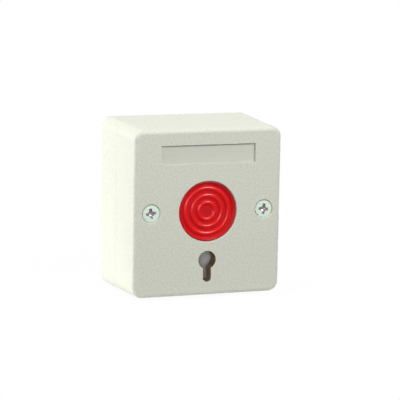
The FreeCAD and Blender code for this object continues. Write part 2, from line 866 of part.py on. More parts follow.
def terminal_screw(x):
    front, _ = clamp_depths()
    head_top = front - terminal_head_sink - terminal_head_height
    z = block_middle()
    head = rod(terminal_head_radius, head_top, head_top + terminal_head_height, x, z)
    shank = rod(terminal_screw_radius, head_top + 0.5,
                head_top + terminal_head_height + terminal_screw_length, x, z)
    half = terminal_slot_width / 2
    slot = block(x - terminal_head_radius - 1.0, x + terminal_head_radius + 1.0,
                 head_top - 1.0, head_top + terminal_slot_depth, z - half, z + half)
    return joined([head, shank]).cut(slot)


def terminal_pin(x):
    """Solder pin under each clamp, through the housing's floor and the board."""
    _, back = clamp_depths()
    half = pin_size / 2
    z = block_middle()
    return block(x - half, x + half, back, board_back + pin_tail, z - half, z + half)


def group(solids):
    return solids[0] if len(solids) == 1 else Part.makeCompound(solids)


def pieces():
    """Every node of the part by name."""
    return {
        "front_cover": front_cover(),
        "back_box": back_box(),
        "cover_screws": group([case_screw(x, z) for x, z in screw_places]),
        "screw_inserts": group([screw_insert(x, z) for x, z in screw_places]),
        "push_button": push_button(),
        "return_spring": return_spring(),
        "chassis": chassis(),
        "chassis_screws": group([tapping_screw(chassis_back, chassis_back - chassis_screw_length, x, z)
                                 for x, z in post_places]),
        "latch_slide": latch_slide(),
        "latch_spring": latch_spring(),
        "switch_case": switch_case(),
        "switch_base": switch_base(),
        "switch_pivot": switch_pivot(),
        "switch_lever": switch_lever(),
        "switch_plunger": switch_plunger(),
        "snap_blade": snap_blade(),
        "common_terminal": common_terminal(),
        "open_terminal": open_terminal(),
        "closed_terminal": closed_terminal(),
        "contact_board": contact_board(),
        "board_screws": group([tapping_screw(board_front, board_front + board_screw_length, x, z)
                               for x, z in board_places]),
        "terminal_housing": terminal_housing(),
        "terminal_clamps": group([terminal_clamp(x) for x in pole_places()]),
        "terminal_screws": group([terminal_screw(x) for x in pole_places()]),
        "terminal_pins": group([terminal_pin(x) for x in pole_places()]),
    }


os.makedirs("parts", exist_ok=True)
for name, shape in pieces().items():
    shape.translate(Vector(0, -case_depth / 2, 0))
    shape.exportStep(f"parts/{name}.step")
print("lever swing in degrees:", round(math.degrees(rest_angle), 4))
print("plunger travel in mm:", round(plunger_travel, 4))
print("lever pivot in mm:", pivot_x, round(pivot_level - case_depth / 2, 4), button_height)
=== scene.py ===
"""Looks for a wall-fixed panic button: materials, case screws, springs, blade and studio.

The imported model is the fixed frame, in metres, with the front towards -Y and
+Z up. Each operator finishes one piece or a group of like pieces.
"""
import math

import bmesh
import bpy
from mathutils import Matrix, Vector


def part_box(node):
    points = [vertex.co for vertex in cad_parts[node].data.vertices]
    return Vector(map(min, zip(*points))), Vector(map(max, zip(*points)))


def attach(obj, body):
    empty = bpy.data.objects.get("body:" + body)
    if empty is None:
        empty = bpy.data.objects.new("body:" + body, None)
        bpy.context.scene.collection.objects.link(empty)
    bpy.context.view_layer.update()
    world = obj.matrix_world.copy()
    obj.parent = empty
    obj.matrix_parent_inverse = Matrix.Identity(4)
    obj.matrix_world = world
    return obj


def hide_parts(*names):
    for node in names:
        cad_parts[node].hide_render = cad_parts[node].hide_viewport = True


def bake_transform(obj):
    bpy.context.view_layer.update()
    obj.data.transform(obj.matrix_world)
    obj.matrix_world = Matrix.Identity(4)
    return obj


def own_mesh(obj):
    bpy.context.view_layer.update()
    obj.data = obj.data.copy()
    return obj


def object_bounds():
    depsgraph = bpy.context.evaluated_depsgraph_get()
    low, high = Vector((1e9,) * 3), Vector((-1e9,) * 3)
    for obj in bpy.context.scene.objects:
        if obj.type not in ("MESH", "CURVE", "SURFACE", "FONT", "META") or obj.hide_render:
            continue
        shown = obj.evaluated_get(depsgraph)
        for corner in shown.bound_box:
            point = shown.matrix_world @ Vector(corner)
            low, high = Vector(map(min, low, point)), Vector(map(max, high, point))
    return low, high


bl_info = {
    "name": "Panic button finish",
    "version": (1, 0, 0),
    "blender": (4, 5, 0),
    "location": "View3D > Sidebar > Panic button",
    "description": "Gives a wall-fixed panic button its plastics, metals, screws, springs and studio",
    "category": "Object",
}

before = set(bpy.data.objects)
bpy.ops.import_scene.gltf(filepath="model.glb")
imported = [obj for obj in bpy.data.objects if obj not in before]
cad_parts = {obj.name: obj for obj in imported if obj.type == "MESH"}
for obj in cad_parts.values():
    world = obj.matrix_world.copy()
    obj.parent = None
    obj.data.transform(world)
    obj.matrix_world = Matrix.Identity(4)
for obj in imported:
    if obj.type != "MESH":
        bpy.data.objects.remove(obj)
cad_low, cad_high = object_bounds()
cover_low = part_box("front_cover")[0]
screws_low, screws_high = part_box("cover_screws")
button_low, button_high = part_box("push_button")
button_middle = (button_low.z + button_high.z) / 2
MM = 0.001
# Blender's noise mostly stays between these two values.
NOISE_LOW = 0.3
NOISE_HIGH = 0.7


def linear(hex_colour):
    """An sRGB hex colour as linear red, green, blue and alpha."""
    values = []
    for start in (1, 3, 5):
        part = int(hex_colour[start:start + 2], 16) / 255
        values.append(part / 12.92 if part <= 0.04045 else ((part + 0.055) / 1.055) ** 2.4)
    return (*values, 1.0)


def colour_property(name, description, hex_colour):
    """A colour that a user can change, from its sRGB hex value."""
    return bpy.props.FloatVectorProperty(name=name, description=description, subtype="COLOR",
                                         size=4, min=0.0, max=1.0, default=linear(hex_colour))


def length_property(name, description, millimetres):
    """A length that a user can change, given in millimetres and kept in metres."""
    return bpy.props.FloatProperty(name=name, description=description, default=millimetres * MM,
                                   min=0.0, unit="LENGTH", subtype="DISTANCE", precision=5)


def angle_property(name, description, degrees):
    """An angle that a user can change, given in degrees and kept in radians."""
    return bpy.props.FloatProperty(name=name, description=description, default=math.radians(degrees),
                                   unit="ROTATION", subtype="ANGLE")


def share_property(name, description, share):
    """A value between 0 and 1 that a user can change."""
    return bpy.props.FloatProperty(name=name, description=description, default=share,
                                   min=0.0, max=1.0, subtype="FACTOR")


def power_property(name, description, watts):
    """The power of a lamp."""
    return bpy.props.FloatProperty(name=name, description=description, default=watts,
                                   min=0.0, unit="POWER")


def count_property(name, description, count, least):
    """A number of turns or parts that a user can change."""
    return bpy.props.IntProperty(name=name, description=description, default=count, min=least)


class CaseLook(bpy.types.PropertyGroup):
    """The two moulded halves of the case."""

    ivory: colour_property("Ivory", "Colour of the moulded case", "#E2E4D6")
    # Painted shade: the grain's low places take this darker colour.
    grain_shade: colour_property("Valley", "Colour in the low places of the grain", "#D8DACC")
    label_floor: colour_property("Label floor", "Colour of the polished label recess", "#D8DACD")
    # Painted shade: the label floor darkens to this colour beside its walls.
    label_wall_shade: colour_property("Label edge", "Colour of the label recess beside its walls", "#CBCDC1")
    # Painted shade on the keyhole's wall, a dull brown.
    rubbed: colour_property("Rubbed", "Colour that the key's steel leaves on the keyhole's wall", "#9B7E62")
    grain_size: length_property("Grain size", "Distance between the bumps of the spark-eroded grain", 0.8)
    grain_depth: length_property("Grain depth", "Height of the grain", 0.06)
    # Width of the band of painted shade along the label recess's walls.
    wall_shade_width: length_property("Dust width", "Width of the dust along the label recess's walls", 1.6)
    label_width: length_property("Label width", "Length of the smooth label recess", 34.5)
    label_height: length_property("Label height", "Height of the smooth label recess", 6.6)
    label_middle: length_property("Label middle", "Height of the recess's middle above the ground", 50.25)
    label_depth: length_property("Label depth", "Depth of the label recess", 0.9)
    keyhole_radius: length_property("Keyhole radius", "Half the width of the keyhole's round part", 3.3)
    keyhole_top: length_property("Keyhole top", "Height of the keyhole's upper edge", 16.5)
    keyhole_foot: length_property("Keyhole foot", "Height of the keyhole's lower edge", 5.4)
    # Behind this thin unpainted lip, the keyhole's wall carries painted shade.
    keyhole_lip: length_property("Keyhole lip", "Depth of the clean edge in front of the rubbed wall", 0.3)
    keyhole_reach: length_property("Keyhole reach", "Depth of the keyhole's wall", 5.3)


class ButtonLook(bpy.types.PropertyGroup):
    """The red push button."""

    # Painted light: the ridges are drawn in this lighter red and the grooves and the rim in a deeper red.
    red: colour_property("Red", "Colour of the button's ridges", "#F0151B")
    shaded_red: colour_property("Deep red", "Colour of the grooves and the rim", "#D2181E")
    ripple_size: length_property("Ripple size", "Distance between the faint waves of the moulded skin", 0.9)
    groove_level: length_property("Groove level", "Depth of the grooves below the cover's face", 1.35)
    # Painted light: the red lightens over these heights above the grooves.
    painted_light_from: length_property("Bright from", "Height above the grooves where the red brightens", 0.12)
    painted_light_at: length_property("Bright at", "Height above the grooves where it is brightest", 0.2)
    ridges_radius: length_property("Ridges radius", "Distance from the axis to the last ridge's foot", 8.95)
    roughness: share_property("Roughness", "Roughness of the moulded skin", 0.3)


class ScrewLook(bpy.types.PropertyGroup):
    """The two countersunk screws of the cover."""

    plate: colour_property("Plate", "Colour of the bright zinc plate", "#E4FFF4")
    stain: colour_property("Stain", "Colour of the plate where the passivate is thick", "#FFFFDC")
    haze: colour_property("Haze", "Colour of the plate where the passivate is thin", "#D8FCFC")
    punched: colour_property("Punched", "Colour of the thin plate in the driver recess", "#E2D4D3")
    head_radius: length_property("Head radius", "Half the head's width", 3.0)
    head_rim: length_property("Head rim", "Height of the head's upright rim", 0.2)
    shank_radius: length_property("Shank radius", "Half the thread's outside width", 1.5)
    thread_pitch: length_property("Thread pitch", "Distance between the thread's turns", 0.5)
    thread_depth: length_property("Thread depth", "Height of the thread", 0.28)
    edge_round: length_property("Edge round", "Radius of the head's upper edge", 0.12)
    wing_reach: length_property("Wing reach", "Half the driver recess's width at its top", 1.85)
    wing_width: length_property("Wing width", "Width of each wing of the recess at its top", 1.05)
    cone_radius: length_property("Cone radius", "Half the width of the recess's round middle", 1.25)
    recess_depth: length_property("Recess depth", "Depth of the driver recess", 1.15)
    left_turn: angle_property("Left turn", "Turn of the left screw's recess", 8)
    right_turn: angle_property("Right turn", "Turn of the right screw's recess", -6)


class SlideLook(bpy.types.PropertyGroup):
    """The release slide, the chassis it runs on and the coil springs."""

    sheet: colour_property("Sheet", "Colour of the stamped release slide", "#FAF6F2")
    nylon: colour_property("Nylon", "Colour of the chassis", "#C8C8C4")
    spring: colour_property("Spring", "Colour of drawn spring wire", "#A9A9AB")
    line_spacing: length_property("Line spacing", "Distance between the sheet's rolling lines", 0.25)
    return_wire: length_property("Return wire", "Thickness of the button's spring wire", 0.7)
    return_turns: count_property("Return turns", "Turns of the button's spring", 5, 1)
    latch_wire: length_property("Latch wire", "Thickness of the slide's spring wire", 0.35)
    latch_turns: count_property("Latch turns", "Turns of the slide's spring", 4, 1)


class SwitchLook(bpy.types.PropertyGroup):
    """The snap switch and its contacts."""

    phenolic: colour_property("Phenolic", "Colour of the switch body", "#2B2A29")
    acetal: colour_property("Acetal", "Colour of the plunger", "#EDECE8")
    strip: colour_property("Strip", "Colour of the lever's spring strip", "#B2B2B3")
    bronze: colour_property("Bronze", "Colour of the contact strip", "#CE9A66")
    brass: colour_property("Brass", "Colour of the stamped terminals", "#D9BC76")
    blade_parts: count_property("Blade parts", "Parts in which the blade bends", 24, 2)


class WiringLook(bpy.types.PropertyGroup):
    """The wiring board, the terminal block and the threaded inserts."""

    mask: colour_property("Mask", "Colour of the board's solder mask", "#2F7A4A")
    housing: colour_property("Housing", "Colour of the terminal housing", "#3E9A62")
    brass: colour_property("Brass", "Colour of turned brass", "#DCC07C")
    weave: length_property("Weave", "Distance between the threads of the board's glass cloth", 0.45)


class StageSetup(bpy.types.PropertyGroup):
    """Floor, lamps, world and camera."""

    aim: bpy.props.FloatVectorProperty(name="Aim", description="Point in the middle of the picture",
                                       default=(-0.002446, -0.015141, 0.034157), size=3,
                                       unit="LENGTH", subtype="TRANSLATION")
    turn: angle_property("Turn", "Camera's place to the left of the front", 20.691)
    rise: angle_property("Rise", "Camera's angle above the ground", 9.396)
    roll: angle_property("Roll", "Camera's turn about its own line of sight", 0.999)
    distance: length_property("Distance", "Camera's distance from the point it aims at", 729.93)
    lens: bpy.props.FloatProperty(name="Lens", description="Focal length on a 36 mm sensor",
                                  default=190.27, min=1.0, unit="CAMERA")
    floor_white: colour_property("Floor", "Colour of the floor", "#F7F7F5")
    floor_half: length_property("Floor half", "Half the floor's width", 6000)
    floor_front: length_property("Floor front", "How far the floor reaches in front of the middle", 18)
    shadow_reach: length_property("Shadow reach", "Distance at which the floor turns quite white", 110)
    near_white: share_property("Near white", "How white the floor shows near the object", 0.94)
    left_power: power_property("Left lamp", "Power of the lamp at the left", 3.45)
    front_power: power_property("Front lamp", "Power of the lamp at the right front", 4.1)
    fill_power: power_property("Camera lamp", "Power of the lamp behind the camera", 1.95)
    edge_power: power_property("Edge lamp", "Power of the strip beside the front face", 1.2)
    top_power: power_property("Top lamp", "Power of the lamp overhead", 1.85)
    room_light: share_property("Room light", "Even light of the room behind the front face", 0.5)
    dim_room: share_property("Dim room", "Brightness of the room that gloss sees elsewhere", 0.12)


def add_node(tree, kind, inputs=None, **settings):
    """Add a node, set its properties, and fill or link its sockets by name or number."""
    node = tree.nodes.new(kind)
    for name, value in settings.items():
        setattr(node, name, value)
    for key, value in (inputs or {}).items():
        socket = node.inputs[key] if isinstance(key, int) else next(
            each for each in node.inputs if each.enabled and each.name == key)
        if isinstance(value, bpy.types.Node):
            value = next(each for each in value.outputs if each.enabled)
        if isinstance(value, bpy.types.NodeSocket):
            tree.links.new(value, socket)
        else:
            socket.default_value = value
    return node


def new_material(name):
    """An empty node material and the position on the object that its patterns follow."""
    material = bpy.data.materials.new(name)
    material.use_nodes = True
    tree = material.node_tree
    tree.nodes.clear()
    return material, tree, add_node(tree, "ShaderNodeTexCoord").outputs["Object"]


def wander(tree, place, size, low, high, detail=2.0):
    """A value that wanders between two limits over features about a size apart."""
    pattern = add_node(tree, "ShaderNodeTexNoise",
                       {"Vector": place, "Scale": 1.0 / size, "Detail": detail})
    return add_node(tree, "ShaderNodeMapRange", {"Value": pattern, "From Min": NOISE_LOW,
                                                 "From Max": NOISE_HIGH, "To Min": low, "To Max": high})


def inside_box(tree, place, low, high, soft=0.001 * MM):
    """1 inside a box that lies along the axes, and 0 outside it, with a soft step just inside."""
    middle = [(a + b) / 2 for a, b in zip(low, high)]
    half = [(b - a) / 2 for a, b in zip(low, high)]
    away = add_node(tree, "ShaderNodeVectorMath", {0: place, 1: middle}, operation="SUBTRACT")
    away = add_node(tree, "ShaderNodeVectorMath", {0: away}, operation="ABSOLUTE")
    past = add_node(tree, "ShaderNodeVectorMath", {0: away, 1: half}, operation="SUBTRACT")
    axes = add_node(tree, "ShaderNodeSeparateXYZ", {"Vector": past})
    most = add_node(tree, "ShaderNodeMath", {0: axes.outputs["X"], 1: axes.outputs["Y"]},
                    operation="MAXIMUM")
    most = add_node(tree, "ShaderNodeMath", {0: most, 1: axes.outputs["Z"]}, operation="MAXIMUM")
    return add_node(tree, "ShaderNodeMapRange", {"Value": most, "From Min": -soft, "From Max": 0.0,
                                                 "To Min": 1.0, "To Max": 0.0})


def close_material(tree, colour, roughness, height, depth, optics):
    """End the tree in one shader, with bumps of a depth in metres and its IOR or metallic value."""
    bumps = add_node(tree, "ShaderNodeBump", {"Height": height, "Distance": depth})
    shader = add_node(tree, "ShaderNodeBsdfPrincipled",
                      {"Base Color": colour, "Roughness": roughness, "Normal": bumps, **optics})
    add_node(tree, "ShaderNodeOutputMaterial", {"Surface": shader})


def abs_spark_eroded(look):
    """ABS, injection-moulded against a spark-eroded tool.

    The tool leaves an even field of soft low bumps, so the ivory looks
    matte, and painted shade makes it darker in the grain's low places.
    The grain is drawn coarser than the real one, which is too fine to show.
    The label recess is moulded against a polished insert, so its floor is
    plain, with painted shade along its walls, and the keyhole's wall is
    painted dull brown as shade.
    """
    material, tree, place = new_material("abs_ivory_spark_eroded")
    grain = add_node(tree, "ShaderNodeTexNoise",
                     {"Vector": place, "Scale": 1.0 / look.grain_size, "Detail": 3.0, "Roughness": 0.6})
    label_centre = Vector((0, cover_low.y + look.label_depth, look.label_middle))
    label_corner = Vector((look.label_width / 2, 0, look.label_height / 2))
    floor_skin = Vector((0, 0.05 * MM, 0))
    label = inside_box(tree, place, label_centre - label_corner - floor_skin,
                       label_centre + label_corner + floor_skin)
    grained = add_node(tree, "ShaderNodeMath", {0: 1.0, 1: label}, operation="SUBTRACT")
    height = add_node(tree, "ShaderNodeMath", {0: grain, 1: grained}, operation="MULTIPLY")
    # Painted shade: the colour follows the grain's height, darker in its low places.
    mottle = add_node(tree, "ShaderNodeMapRange", {"Value": grain, "From Min": 0.38, "From Max": 0.62})
    mottled = add_node(tree, "ShaderNodeMix", {"Factor": mottle, "A": look.grain_shade, "B": look.ivory},
                       data_type="RGBA")
    # Painted shade: the label floor darkens over a band along its walls.
    clear = Vector((0, 2 * look.wall_shade_width, 0))
    unshaded_floor = inside_box(tree, place, label_centre - label_corner - clear,
                       label_centre + label_corner + clear, soft=look.wall_shade_width)
    floor = add_node(tree, "ShaderNodeMix", {"Factor": unshaded_floor, "A": look.label_wall_shade, "B": look.label_floor},
                     data_type="RGBA")
    plain = add_node(tree, "ShaderNodeMix", {"Factor": label, "A": mottled, "B": floor},
                     data_type="RGBA")
    # Painted shade: the keyhole's wall behind its lip is drawn dull brown, with uneven tone.
    keyhole = inside_box(tree, place,
                         (-look.keyhole_radius, cover_low.y + look.keyhole_lip, look.keyhole_foot),
                         (look.keyhole_radius, cover_low.y + look.keyhole_reach, look.keyhole_top))
    shaded_share = add_node(tree, "ShaderNodeMath", {0: keyhole, 1: wander(tree, place, 1.5 * MM, 0.8, 1.0)},
                    operation="MULTIPLY")
    finished = add_node(tree, "ShaderNodeMix", {"Factor": shaded_share, "A": plain, "B": look.rubbed},
                        data_type="RGBA")
    gloss = add_node(tree, "ShaderNodeMapRange", {"Value": grain, "From Min": NOISE_LOW,
                                                  "From Max": NOISE_HIGH, "To Min": 0.50, "To Max": 0.62})
    close_material(tree, finished, gloss, height, look.grain_depth, {"IOR": 1.53})
    return material


def abs_polished(look):
    """ABS, injection-moulded against a polished tool.

    The skin is glossy but not a mirror: broad soft highlights run along
    the ridges, and faint moulding waves break them up a little. Painted
    light draws the ridges in a lighter red, and painted shade leaves the
    grooves and the rim a deeper red.
    """
    material, tree, place = new_material("abs_red_polished")
    offset = add_node(tree, "ShaderNodeVectorMath", {0: place, 1: (0.0, 0.0, button_middle)},
                      operation="SUBTRACT")
    flat = add_node(tree, "ShaderNodeVectorMath", {0: offset, 1: (1.0, 0.0, 1.0)}, operation="MULTIPLY")
    radius = add_node(tree, "ShaderNodeVectorMath", {0: flat}, operation="LENGTH").outputs["Value"]
    level = add_node(tree, "ShaderNodeSeparateXYZ", {"Vector": place}).outputs["Y"]
    # Painted light: raised parts inside the last ridge's foot take the lighter red, with uneven tone; the
    # rest stays the deeper red.
    groove = cover_low.y + look.groove_level
    painted_light_share = add_node(tree, "ShaderNodeMapRange", {"Value": level, "From Min": groove - look.painted_light_from,
                                                   "From Max": groove - look.painted_light_at})
    ridged = add_node(tree, "ShaderNodeMath", {0: radius, 1: look.ridges_radius}, operation="LESS_THAN")
    bright = add_node(tree, "ShaderNodeMath", {0: painted_light_share, 1: ridged}, operation="MULTIPLY")
    cloud = wander(tree, place, 6 * MM, 0.85, 1.0)
    bright = add_node(tree, "ShaderNodeMath", {0: bright, 1: cloud}, operation="MULTIPLY")
    colour = add_node(tree, "ShaderNodeMix", {"Factor": bright, "A": look.shaded_red, "B": look.red},
                      data_type="RGBA")
    ripple = wander(tree, place, look.ripple_size, 0.0, 1.0)
    gloss = wander(tree, place, 4 * MM, look.roughness - 0.02, look.roughness + 0.02)
    close_material(tree, colour, gloss, ripple, 0.0003 * MM, {"IOR": 1.53})
    return material


def zinc_plated(name, colour, stain, haze, roughness, metallic):
    """Steel, cold-headed and zinc plated with a clear blue passivate.

    The passivate is a little milky and the plate under it is frosted, so
    the screw looks pale and cool with soft glints instead of a mirror's.
    The film's thickness wavers, and that leaves faint cream and blue patches.
    The frost is drawn coarser than the real one, which is too fine to show.
    """
    material, tree, place = new_material(name)
    stained = add_node(tree, "ShaderNodeMix", {"Factor": wander(tree, place, 1.3 * MM, 0.0, 1.0),
                                               "A": colour, "B": stain}, data_type="RGBA")
    tint = add_node(tree, "ShaderNodeMix", {"Factor": wander(tree, place, 0.8 * MM, 0.0, 0.8),
                                            "A": stained, "B": haze}, data_type="RGBA")
    frost = wander(tree, place, 0.15 * MM, 0.0, 1.0)
    gloss = wander(tree, place, 0.4 * MM, roughness - 0.06, roughness + 0.08)
    close_material(tree, tint, gloss, frost, 0.004 * MM, {"Metallic": metallic})
    return material


def worked_metal(name, colour, spacing, stretch, roughness, metallic=1.0):
    """Metal with the lines that rolling, drawing or turning leave.

    The lines are fine and run one way, so they stretch each glint
    across themselves; a slow tarnish makes the colour uneven. They are
    drawn coarser than real ones, which are too fine to show.
    """
    material, tree, place = new_material(name)
    along = add_node(tree, "ShaderNodeMapping", {"Vector": place, "Scale": stretch})
    tarnish = add_node(tree, "ShaderNodeMix", {"Factor": wander(tree, place, 3 * MM, 0.0, 1.0),
                                               "A": colour, "B": darker(colour, 0.82)}, data_type="RGBA")
    lines = wander(tree, along, spacing, 0.0, 1.0, 3.0)
    gloss = wander(tree, along, spacing, roughness - 0.06, roughness + 0.08, 3.0)
    close_material(tree, tarnish, gloss, lines, 0.003 * MM, {"Metallic": metallic})
    return material


def moulded(name, colour, skin_size, roughness, ior):
    """Plain moulded plastic.

    The skin takes the faint unevenness of its steel tool, so the gloss
    wavers a little and the colour isn't quite flat.
    """
    material, tree, place = new_material(name)
    cloud = add_node(tree, "ShaderNodeMix", {"Factor": wander(tree, place, 5 * MM, 0.0, 1.0),
                                             "A": colour, "B": darker(colour, 0.93)}, data_type="RGBA")
    dimples = wander(tree, place, skin_size, 0.0, 1.0)
    gloss = wander(tree, place, skin_size, roughness - 0.05, roughness + 0.07)
    close_material(tree, cloud, gloss, dimples, 0.004 * MM, {"IOR": ior})
    return material


def masked_laminate(look):
    """Glass-epoxy laminate under a cured solder mask.

    The mask is glossy, and the square weave of the glass cloth shows
    through it as faint rows of bumps.
    """
    material, tree, place = new_material("glass_epoxy_masked")
    # At scale 1 the wave texture repeats every tenth of pi.
    scale = math.pi / 10 / look.weave
    weave = [add_node(tree, "ShaderNodeTexWave", {"Vector": place, "Scale": scale}, bands_direction=axis)
             for axis in ("X", "Z")]
    cloth = add_node(tree, "ShaderNodeMath", {0: weave[0].outputs["Fac"], 1: weave[1].outputs["Fac"]},
                     operation="MULTIPLY")
    colour = add_node(tree, "ShaderNodeMix", {"Factor": cloth, "A": darker(look.mask, 0.8),
                                              "B": look.mask}, data_type="RGBA")
    gloss = wander(tree, place, 1.5 * MM, 0.20, 0.32)
    close_material(tree, colour, gloss, cloth, 0.004 * MM, {"IOR": 1.55})
    return material


def darker(colour, share):
    """A linear colour brought down to a share of its brightness."""
    return (colour[0] * share, colour[1] * share, colour[2] * share, 1.0)


def dress(material, *names):
    """Give CAD nodes a material."""
    for name in names:
        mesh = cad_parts[name].data
        mesh.materials.clear()
        mesh.materials.append(material)


def threaded_screw(name, look, tip, turn, plate, punched):
    """A countersunk screw along +Y from its head's top at the origin."""
    sides = 48
    rows_per_turn = 8
    step = look.thread_pitch / rows_per_turn
    under = look.head_rim + (look.head_radius - look.shank_radius)
    # The head's upper edge is a quarter circle, and its cone slopes at 45 degrees down to the shank.
    arc = [(look.head_radius - look.edge_round * (1 - math.sin(a)), look.edge_round * (1 - math.cos(a)))
           for a in (math.radians(15 * i) for i in range(7))]
    profile = [(r, y, False) for r, y in arc]
    profile.append((look.head_radius, look.head_rim, False))
    profile.append((look.shank_radius, under, False))
    rows = int((tip - under - look.thread_pitch) / step)
    profile += [(look.shank_radius, under + (i + 1) * step, True) for i in range(rows)]
    # The thread stops about a turn before the tip, which narrows to the thread's root and a bevel.
    bevel = 0.4 * (tip - under - rows * step)
    root = look.shank_radius - look.thread_depth
    profile.append((root, tip - bevel, False))
    profile.append((root - bevel, tip, False))
    mesh = bmesh.new()
    rings = []
    for radius, y, threaded in profile:
        ring = []
        for i in range(sides):
            angle = 2 * math.pi * i / sides
            turns = y / look.thread_pitch - i / sides
            crest = abs(2 * (turns % 1) - 1)
            r = radius - look.thread_depth * (1 - crest) if threaded else radius
            ring.append(mesh.verts.new((r * math.cos(angle), y, r * math.sin(angle))))
        rings.append(ring)
    skin(mesh, rings)
    screw = mesh_object(name, mesh, plate)
    cut_away(screw, driver_recess(look, turn, punched))
    return screw


def driver_recess(look, turn, punched):
    """The cross recess as a solid: four wings that slope in, and a round cone between them."""
    mesh = bmesh.new()
    over = 0.2 * MM
    flare = 0.05 * MM
    shoulder = 0.62
    cone_tip = 0.12 * MM
    for quarter in range(2):
        angle = turn + quarter * math.pi / 2
        along = Vector((math.cos(angle), 0, math.sin(angle)))
        side = Vector((-math.sin(angle), 0, math.cos(angle)))
        half = look.wing_width / 2
        # Each section's depth, reach from the axis and half width: above the head, at its top,
        # at the shoulder, past which the wing closes in faster, and at the foot.
        levels = [(-over, look.wing_reach + flare, half * 1.08),
                  (0.0, look.wing_reach, half),
                  (look.recess_depth * shoulder, look.wing_reach * shoulder, half * 0.72),
                  (look.recess_depth, half * 0.5, half * 0.4)]
        loops = []
        for y, reach, width in levels:
            down = Vector((0, y, 0))
            loops.append([mesh.verts.new(down + along * a * reach + side * b * width)
                          for a, b in ((-1, -1), (1, -1), (1, 1), (-1, 1))])
        skin(mesh, loops)
    cone = bmesh.ops.create_cone(mesh, cap_ends=True, segments=24, radius1=look.cone_radius,
                                 radius2=cone_tip, depth=look.recess_depth + over)
    upright = Matrix.Rotation(math.radians(-90), 4, "X")
    shift = Matrix.Translation((0, (look.recess_depth - over) / 2, 0))
    bmesh.ops.transform(mesh, matrix=shift @ upright, verts=cone["verts"])
    return mesh_object("driver_recess", mesh, punched)


def coil_spring(name, node, axis, wire, turns, material):
    """A coil of round wire that fills its CAD node's box along an axis, 0 for X or 1 for Y."""
    sides = 12
    steps_per_turn = 36
    steps = turns * steps_per_turn
    low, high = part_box(node)
    radius = (high.z - low.z - wire) / 2
    rise = high[axis] - low[axis] - wire
    along = Vector((axis == 0, axis == 1, 0))
    across = Vector((axis == 1, axis == 0, 0))
    start = (low + high) / 2 - along * rise / 2
    mesh = bmesh.new()
    rings = []
    for i in range(steps + 1):
        angle = 2 * math.pi * i / steps_per_turn
        outward = across * math.cos(angle) + Vector((0, 0, math.sin(angle)))
        middle = start + along * rise * i / steps + outward * radius
        rings.append([mesh.verts.new(middle + (outward * math.cos(a) + along * math.sin(a)) * wire / 2)
                      for a in (2 * math.pi * k / sides for k in range(sides))])
    skin(mesh, rings)
    spring = mesh_object(name, mesh, material)
    smooth_by_angle(spring, degrees=50)
    return spring


def flexing_strip(name, node, parts, material):
    """A copy of a CAD strip, cut across into equal parts so that it can bend smoothly."""
    low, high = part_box(node)
    mesh = bmesh.new()
    mesh.from_mesh(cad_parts[node].data)
    mesh.transform(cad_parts[node].matrix_world)
    for i in range(1, parts):
        cut = low.lerp(high, i / parts)
        bmesh.ops.bisect_plane(mesh, geom=mesh.verts[:] + mesh.edges[:] + mesh.faces[:], dist=MM / 10000,
                               plane_co=cut, plane_no=(1, 0, 0))
    return mesh_object(name, mesh, material)


def skin(mesh, loops):
    """Join each loop of vertices to the next one and close both ends."""
    count = len(loops[0])
    for first, second in zip(loops, loops[1:]):
        for i in range(count):
            j = (i + 1) % count
            mesh.faces.new((first[i], second[i], second[j], first[j]))
    mesh.faces.new(loops[0])
    mesh.faces.new(list(reversed(loops[-1])))
    bmesh.ops.recalc_face_normals(mesh, faces=mesh.faces)


def mesh_object(name, mesh, material):
    """Put a mesh and its material in the scene as an object."""
    data = bpy.data.meshes.new(name)
    mesh.to_mesh(data)
    mesh.free()
    data.materials.append(material)
    made = bpy.data.objects.new(name, data)
    bpy.context.scene.collection.objects.link(made)
    return made


def cut_away(body, cutter):
    """Cut one solid out of another, leave its material on the cut, and drop the cutter."""
    cut = body.modifiers.new("recess", "BOOLEAN")
    cut.operation = "DIFFERENCE"
    cut.solver = "EXACT"
    cut.material_mode = "TRANSFER"
    cut.use_self = True
    cut.object = cutter
    bpy.context.view_layer.update()
    made = bpy.data.meshes.new_from_object(body.evaluated_get(bpy.context.evaluated_depsgraph_get()))
    body.modifiers.clear()
    body.data = made
    bpy.data.objects.remove(cutter)


def smooth_by_angle(body, degrees):
    """Shade smooth, with a crease wherever two faces meet at more than the angle."""
    mesh = bmesh.new()
    mesh.from_mesh(body.data)
    for face in mesh.faces:
        face.smooth = True
    for edge in mesh.edges:
        if len(edge.link_faces) == 2:
            edge.smooth = edge.calc_face_angle() < math.radians(degrees)
    mesh.to_mesh(body.data)
    mesh.free()


class PANICBUTTON_OT_case(bpy.types.Operator):
    """Finish the front cover and the back box"""

    bl_idname = "panicbutton.case"
    bl_label = "Case"

    def execute(self, context):
        dress(abs_spark_eroded(context.scene.panicbutton_case), "front_cover", "back_box")
        return {"FINISHED"}


class PANICBUTTON_OT_button(bpy.types.Operator):
    """Finish the red push button"""

    bl_idname = "panicbutton.button"
    bl_label = "Push button"

    def execute(self, context):
        dress(abs_polished(context.scene.panicbutton_button), "push_button")
        return {"FINISHED"}


